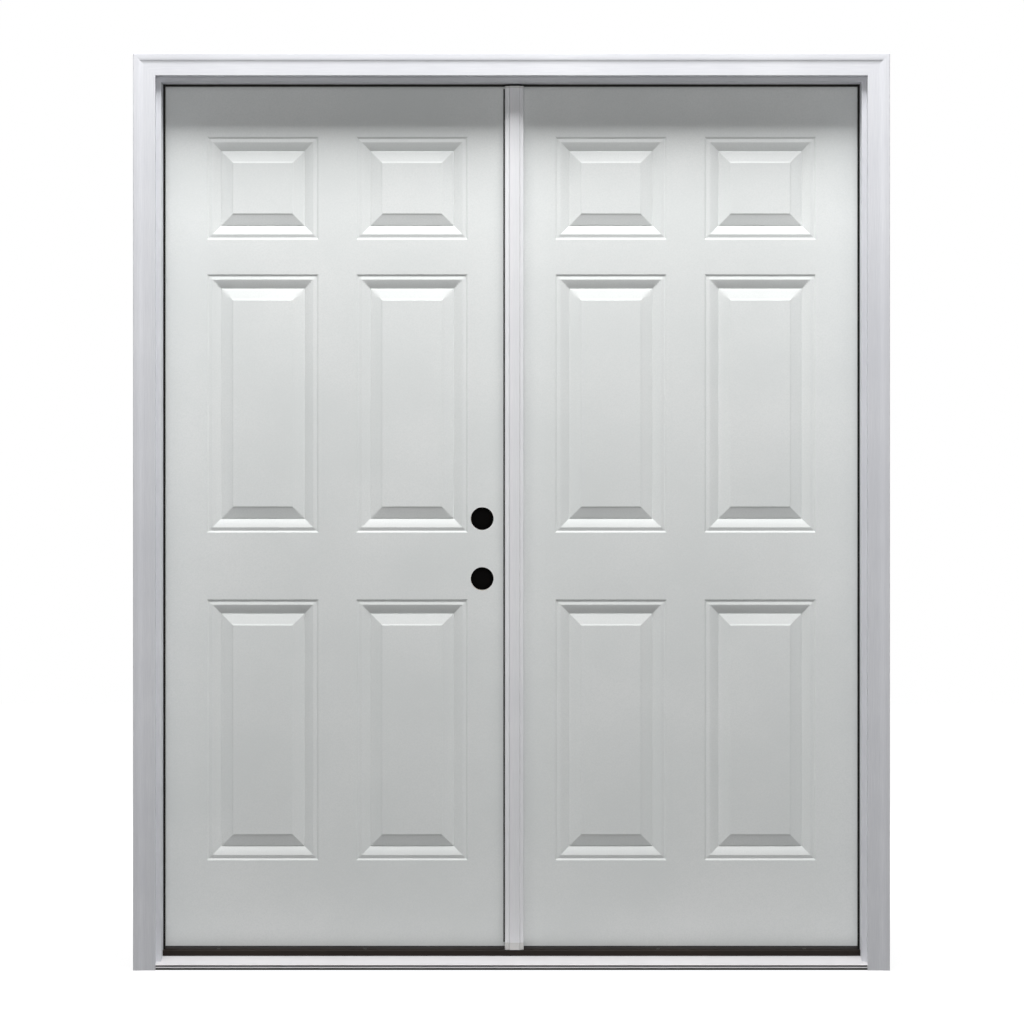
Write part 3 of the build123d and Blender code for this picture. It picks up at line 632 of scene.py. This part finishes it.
@dataclass(frozen=True)
class HeadShape:
    """Sizes of a screw head, cap or disc, in mm. Those of its rings and cross are shares of the radius."""

    radius: float
    height: float
    recess: float = 0.0
    foot: float = 0.4
    segments: int = 32
    rings: int = 9
    first_ring: float = 0.12
    dome_power: int = 4
    bar_half_width: float = 0.20
    bar_half_length: float = 0.62
    bar_side_fade: float = 0.08
    bar_end_fade: float = 0.12

    def points(self) -> np.ndarray:
        """Points of one head that looks along Z.

        A profile is carried round the axis: p(s, a) = s R (cos a, sin a), at the height H (1 - s^4) of a flat
        dome, with a steep rim down to a foot under the surface. The cross is a dip of two crossed bars.

        Returns:
            Places in metres: the crown, the rings from the inside out, and the middle of the foot.
        """
        share = np.concatenate([np.linspace(self.first_ring, 1.0, self.rings), [1.0]])
        height = self.height * (1 - share ** self.dome_power)
        height[-1] = -self.foot
        angle = np.linspace(0, 2 * np.pi, self.segments, endpoint=False)
        flat_x = np.outer(share, np.cos(angle))
        flat_y = np.outer(share, np.sin(angle))
        cross = np.maximum(self.bar(flat_x, flat_y), self.bar(flat_y, flat_x))
        rise = height[:, None] - self.recess * cross
        rings = np.stack([flat_x * self.radius, flat_y * self.radius, rise], axis=-1).reshape(-1, 3)
        crown = [[0.0, 0.0, self.height - self.recess]]
        under = [[0.0, 0.0, -self.foot]]
        return np.concatenate([crown, rings, under]) * MM

    def bar(self, across: np.ndarray, along: np.ndarray) -> np.ndarray:
        """One bar of the cross, as the product of a ramp across it and one along it.

        Args:
            across: Distances from the bar's long axis, as shares of the radius.
            along: Distances along that axis from the middle, as shares of the radius.

        Returns:
            1 inside the bar, falling to 0 outside it.
        """
        wide = np.clip((self.bar_half_width - abs(across)) / self.bar_side_fade, 0, 1)
        long = np.clip((self.bar_half_length - abs(along)) / self.bar_end_fade, 0, 1)
        return wide * long

    def faces(self) -> np.ndarray:
        """Triangles of one head.

        Returns:
            Indices of its points.
        """
        step = np.arange(self.segments)
        after = np.roll(step, -1)
        starts = 1 + np.arange(self.rings + 1) * self.segments
        foot = starts[-1] + self.segments
        parts = [np.stack([np.zeros_like(step), 1 + step, 1 + after], 1)]
        for low, high in zip(starts[:-1], starts[1:]):
            parts.append(np.stack([low + step, high + step, high + after], 1))
            parts.append(np.stack([low + step, high + after, low + after], 1))
        parts.append(np.stack([starts[-1] + step, np.full_like(step, foot), starts[-1] + after], 1))
        return np.concatenate(parts)


@dataclass(frozen=True)
class ScrewHeads:
    """A group of equal heads, caps or discs on one body, with their middles in mm in the shared frame."""

    name: str
    body: str
    slot: str
    finish: Finish
    shape: HeadShape
    middles: tuple[tuple[float, float, float], ...]
    normal: tuple[float, float, float]
    sharp_deg: float = 35.0

    def build(self, shelf: Shelf) -> bpy.types.Object:
        """Make all the heads as one piece: one head, turned to look along the normal, at each middle.

        Args:
            shelf: The materials.

        Returns:
            The heads' object.
        """
        up = np.array(self.normal)
        side = np.cross(up, [0.0, 0.0, 1.0]) if up[2] == 0 else np.array([1.0, 0.0, 0.0])
        head = self.shape.points() @ np.stack([side, np.cross(up, side), up])
        middles = np.array(self.middles) * MM
        points = (middles[:, None, :] + head[None]).reshape(-1, 3)
        shift = np.arange(len(middles))[:, None, None] * len(head)
        faces = (self.shape.faces()[None] + shift).reshape(-1, 3)
        material = shelf.get(self.finish)
        return piece(self.name, points, faces, material, self.body, self.sharp_deg)


@dataclass(frozen=True)
class Fasteners:
    """Screw heads, pin caps and the black discs of painted shade in the lock bores, which the CAD leaves to
    the looks, in mm.
    """

    hinge_half: float = 50.8
    plate_rows: tuple[tuple[float, float], ...] = ((103.0, -37.0), (90.0, -12.5), (90.0, 12.5), (103.0, 37.0))
    plate_head: HeadShape = HeadShape(4.4, 0.6, recess=0.5)
    jamb_x: float = 817.5
    leaf_x: float = 814.3
    pin_x: float = 815.9
    pin_y: float = 122.4
    pin_proud: float = 2.0
    pin_cap: HeadShape = HeadShape(4.6, 1.6, foot=1.2)
    web_x: float = -4.75
    web_y: float = 93.675
    web_heights: tuple[float, ...] = (369.1, 699.1, 1269.1, 1719.1)
    web_head: HeadShape = HeadShape(4.0, 0.6, recess=0.5)
    riser_y: float = 74.0
    riser_z: float = 39.5
    riser_places: tuple[float, ...] = (-680.0, -340.0, 1.6, 340.0, 680.0)
    riser_head: HeadShape = HeadShape(4.5, 0.2, recess=0.16)
    # Black discs of painted shade near the leaf's indoor face, in the lock bores.
    disc_x: float = -68.25
    disc_y: float = 112.0
    disc_heights: tuple[float, ...] = LOCK_HEIGHTS
    disc: HeadShape = HeadShape(26.6, 1.5, foot=2.6, segments=64)

    @property
    def hinge_middles(self) -> list[float]:
        """Heights of the hinges' middles, taken from the CAD."""
        return [sum(corner.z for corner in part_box(name)) / 2 / MM for name in HINGE_PLATES]

    def build(self, shelf: Shelf) -> None:
        """Make every group of heads, and the black discs that close the lock bores to sight, as painted shade
        in the bores.

        Args:
            shelf: The materials.
        """
        for hand, side, leaf in ((-1, "left", "active"), (1, "right", "inactive")):
            self.plates(f"{side}_jamb_hinge_screws", "frame", hand * self.jamb_x, -hand, shelf)
            self.plates(f"{leaf}_hinge_screws", f"{leaf}_leaf", hand * self.leaf_x, hand, shelf)
            for way, place in ((1, "caps"), (-1, "feet")):
                reach = way * (self.hinge_half + self.pin_proud)
                ScrewHeads(
                    f"{side}_hinge_pin_{place}", "frame", "hinge_steel", SATIN_NICKEL, self.pin_cap,
                    tuple((hand * self.pin_x, self.pin_y, z + reach) for z in self.hinge_middles),
                    (0.0, 0.0, float(way)),
                ).build(shelf)
        ScrewHeads(
            "astragal_screw_heads", "inactive_leaf", "bolt_steel", ZINC, self.web_head,
            tuple((self.web_x, self.web_y, z) for z in self.web_heights), (-1.0, 0.0, 0.0),
        ).build(shelf)
        ScrewHeads(
            "riser_screw_heads", "riser", "bolt_steel", ZINC, self.riser_head,
            tuple((x, self.riser_y, self.riser_z) for x in self.riser_places), (0.0, 0.0, 1.0),
        ).build(shelf)
        # Painted shade: black discs near the leaf's indoor face make the lock bores read as dark holes.
        ScrewHeads(
            "lock_bore_shade_discs", "active_leaf", "riser_plastic", BORE_SHADE_BLACK, self.disc,
            tuple((self.disc_x, self.disc_y, z) for z in self.disc_heights), (0.0, -1.0, 0.0),
        ).build(shelf)

    def plates(self, name: str, body: str, face_x: float, way: int, shelf: Shelf) -> None:
        """Make the screw heads of three hinge plates.

        Args:
            name: The piece's name.
            body: The body that carries the plates.
            face_x: The plates' show face.
            way: The direction that face looks along X.
            shelf: The materials.
        """
        middles = tuple((face_x, y, z + rise) for z in self.hinge_middles for y, rise in self.plate_rows)
        ScrewHeads(
            name, body, "hinge_steel", SATIN_NICKEL, self.plate_head, middles, (float(way), 0.0, 0.0)
        ).build(shelf)


@dataclass(frozen=True)
class GrooveShadeStrip:
    """A dark strip in the groove of the sill's nose, whose near black is painted shade in the groove, with
    its corners in mm.
    """

    low: tuple[float, float, float] = (-818.5, -22.2, 8.1)
    high: tuple[float, float, float] = (818.5, -21.05, 11.5)
    sharp_deg: float = 30.0

    def build(self, shelf: Shelf) -> bpy.types.Object:
        """Make the strip, a straight bar.

        Its corners are p(u, v, w) = low + (u, v, w) (high - low), for u, v and w of 0 or 1.

        Args:
            shelf: The materials.

        Returns:
            The strip's object.
        """
        shares = np.stack(np.meshgrid([0, 1], [0, 1], [0, 1], indexing="ij"), axis=-1).reshape(-1, 3)
        points = (np.array(self.low) + shares * (np.array(self.high) - np.array(self.low))) * MM
        faces = np.array(
            [[0, 1, 3, 2], [4, 6, 7, 5], [0, 4, 5, 1], [2, 3, 7, 6], [0, 2, 6, 4], [1, 5, 7, 3]]
        )
        # Its near black is painted shade: it stands for the shade deep in the nose's groove.
        material = shelf.get(SEAL_FOAM_AND_GROOVE_SHADE)
        return piece("sill_groove_shade_strip", points, faces, material, "frame", self.sharp_deg)


@dataclass(frozen=True)
class SoftBox:
    """A rectangular soft light, aimed at a point of the doors' middle plane."""

    name: str
    place: tuple[float, float, float]
    aim: tuple[float, float, float]
    size: tuple[float, float]
    watts: float

    def build(self) -> None:
        """Hang the light."""
        data = bpy.data.lights.new(self.name, "AREA")
        data.shape = "RECTANGLE"
        data.size, data.size_y = self.size
        data.energy = self.watts
        lamp = bpy.data.objects.new(self.name, data)
        lamp.location = self.place
        ahead, down = self.aim[1] - self.place[1], self.place[2] - self.aim[2]
        lamp.rotation_euler = (math.atan2(ahead, down), 0.0, 0.0)
        bpy.context.scene.collection.objects.link(lamp)


@dataclass(frozen=True)
class Studio:
    """Camera at the photo's angle, soft boxes above, in front and behind, and a pale floor. In metres."""

    camera_place: tuple[float, float, float] = (0.0012, -10.1917, 1.0541)
    lens_mm: float = 155.4
    sensor_mm: float = 36.0
    far_clip: float = 100.0
    boxes: tuple[SoftBox, ...] = (
        SoftBox("high box", (0.0, -1.35, 4.27), (0.0, 0.05, 1.2), (4.0, 1.2), 159.0),
        SoftBox("front box", (0.0, -7.0, 2.1), (0.0, 0.05, 1.3), (2.4, 2.0), 86.0),
        SoftBox("indoor box", (0.0, 4.5, 3.2), (0.0, 0.12, 1.0), (3.0, 2.0), 150.0),
    )
    fill: float = 0.08
    floor_half: float = 14.0
    floor_tone: str = "#747474"
    floor_glow: float = 0.88
    shadow_near: float = 0.9
    shadow_far: float = 2.6

    def build(self) -> None:
        """Set the stage."""
        self.camera()
        for box in self.boxes:
            box.build()
        self.world()
        self.floor()
        bpy.context.scene.view_settings.view_transform = "Standard"

    def camera(self) -> None:
        """Add the camera, level and square to the doors."""
        data = bpy.data.cameras.new("camera")
        data.lens = self.lens_mm
        data.sensor_width = self.sensor_mm
        data.clip_end = self.far_clip
        view = bpy.data.objects.new("camera", data)
        view.location = self.camera_place
        view.rotation_euler = (math.pi / 2, 0.0, 0.0)
        bpy.context.scene.collection.objects.link(view)
        bpy.context.scene.camera = view

    @staticmethod
    def seen(tree: bpy.types.NodeTree) -> bpy.types.NodeSocket:
        """Tell rays that see the stage from rays that gather its light.

        Args:
            tree: The node tree that asks.

        Returns:
            A socket that is 1 for camera, glossy and transmission rays, and 0 for the others.
        """
        path = add(tree, "ShaderNodeLightPath", {}).outputs
        mirrored = add(
            tree, "ShaderNodeMath", {0: path["Is Glossy Ray"], 1: path["Is Transmission Ray"]},
            operation="MAXIMUM",
        ).outputs[0]
        return add(
            tree, "ShaderNodeMath", {0: path["Is Camera Ray"], 1: mirrored}, operation="MAXIMUM"
        ).outputs[0]

    def world(self) -> None:
        """Fill evenly, and show white to the camera and in reflections."""
        world = bpy.data.worlds.new("studio")
        world.use_nodes = True
        tree = world.node_tree
        tree.nodes.clear()
        fill = add(tree, "ShaderNodeBackground", {"Color": WHITE, "Strength": self.fill}).outputs[0]
        white = add(tree, "ShaderNodeBackground", {"Color": WHITE, "Strength": 1.0}).outputs[0]
        mixed = add(tree, "ShaderNodeMixShader", {0: self.seen(tree), 1: fill, 2: white}).outputs[0]
        add(tree, "ShaderNodeOutputWorld", {"Surface": mixed})
        bpy.context.scene.world = world

    def floor(self) -> None:
        """Lay the floor.

        It throws back the light of a matt grey, and it glows white to the camera and in reflections. Near the
        doors the glow is a little lower, so that their shadow shows there, and it rises to white further out.
        """
        half = self.floor_half
        mesh = bpy.data.meshes.new("floor")
        corners = [(-half, -half, 0.0), (half, -half, 0.0), (half, half, 0.0), (-half, half, 0.0)]
        mesh.from_pydata(corners, [], [(0, 1, 2, 3)])
        material = bpy.data.materials.new("pale studio floor")
        material.use_nodes = True
        tree = material.node_tree
        tree.nodes.clear()
        place = add(tree, "ShaderNodeTexCoord", {}).outputs["Object"]
        away = add(tree, "ShaderNodeVectorMath", {0: place}, operation="LENGTH").outputs["Value"]
        level = add(
            tree, "ShaderNodeMapRange",
            {
                "Value": away, "From Min": self.shadow_near, "From Max": self.shadow_far,
                "To Min": self.floor_glow, "To Max": 1.0,
            },
            interpolation_type="SMOOTHSTEP",
        ).outputs["Result"]
        glow = add(tree, "ShaderNodeMath", {0: self.seen(tree), 1: level}, operation="MULTIPLY").outputs[0]
        matt = add(tree, "ShaderNodeBsdfDiffuse", {"Color": linear(self.floor_tone)}).outputs[0]
        white = add(tree, "ShaderNodeEmission", {"Color": WHITE, "Strength": glow}).outputs[0]
        both = add(tree, "ShaderNodeAddShader", {0: matt, 1: white}).outputs[0]
        add(tree, "ShaderNodeOutputMaterial", {"Surface": both})
        mesh.materials.append(material)
        floor = bpy.data.objects.new("floor", mesh)
        bpy.context.scene.collection.objects.link(floor)


def main() -> None:
    """Build the looks in order: finishes, skins, fasteners, the painted shade strip in the sill's nose,
    studio.
    """
    logging.basicConfig(level=logging.INFO)
    shelf = Shelf()
    Dressing().apply(frame["nodes"], shelf)
    for leaf, bored in (("active", True), ("inactive", False)):
        LeafSkin(f"{leaf}_outer_skin", Face.OUTDOOR, bored).build(shelf)
        LeafSkin(f"{leaf}_inner_skin", Face.INDOOR, bored).build(shelf)
    Fasteners().build(shelf)
    GrooveShadeStrip().build(shelf)
    Studio().build()


if __name__ == "__main__":
    main()
